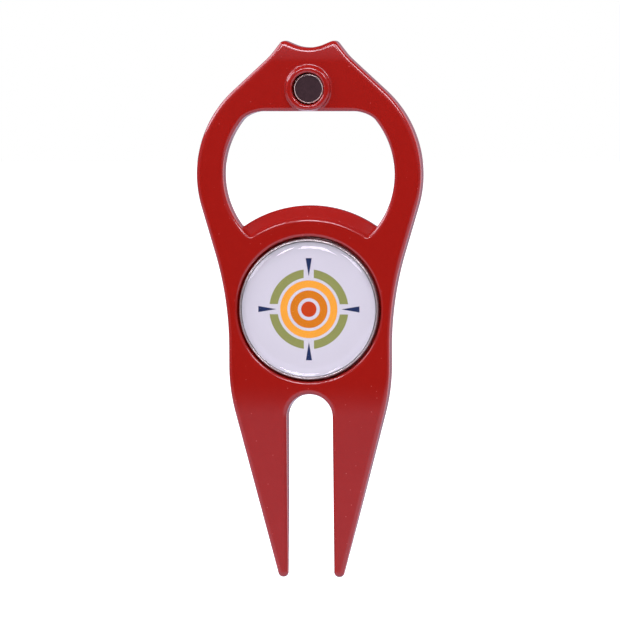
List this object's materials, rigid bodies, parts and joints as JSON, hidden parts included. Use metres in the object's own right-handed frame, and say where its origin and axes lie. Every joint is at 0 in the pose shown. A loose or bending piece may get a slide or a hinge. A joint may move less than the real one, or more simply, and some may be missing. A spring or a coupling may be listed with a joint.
{
  "type": "divot repair tool",
  "caption": "Flat pronged golf divot tool with a bottle-opener window, a magnet boss, a club-rest notch and a domed ball marker that lifts off a hidden magnet.",
  "frame": {"origin": "under the middle of the tool, level with the prong tips", "axes": "+Z along the tool from the prong tips to the horns, -Y out of the face that carries the marker, +X to the right seen from that face"},
  "size_m": [0.0408, 0.005, 0.0968],
  "materials": {
    "red_coat": "smooth gloss red enamel on die-cast zinc",
    "magnet": "dark matt face with a bright plated edge",
    "magnet_plating": "nickel-plated magnet",
    "glue": "cured adhesive",
    "nickel": "bright nickel-plated steel",
    "print": "pale printed disc with a plain aiming pattern",
    "clear_resin": "clear domed resin"
  },
  "bodies": {
    "tool": {"body": "red_coat", "opener_magnet": "magnet", "opener_magnet_glue": "glue", "marker_magnet": "magnet_plating", "marker_magnet_glue": "glue"},
    "marker": {"marker_cup": "nickel", "marker_disc": "print", "marker_dome": "clear_resin"}
  },
  "joints": [
    {"name": "marker_lift", "type": "slide", "parent": "tool", "child": "marker", "axis": [0, -1, 0], "range_m": [0, 0.02]}
  ]
}
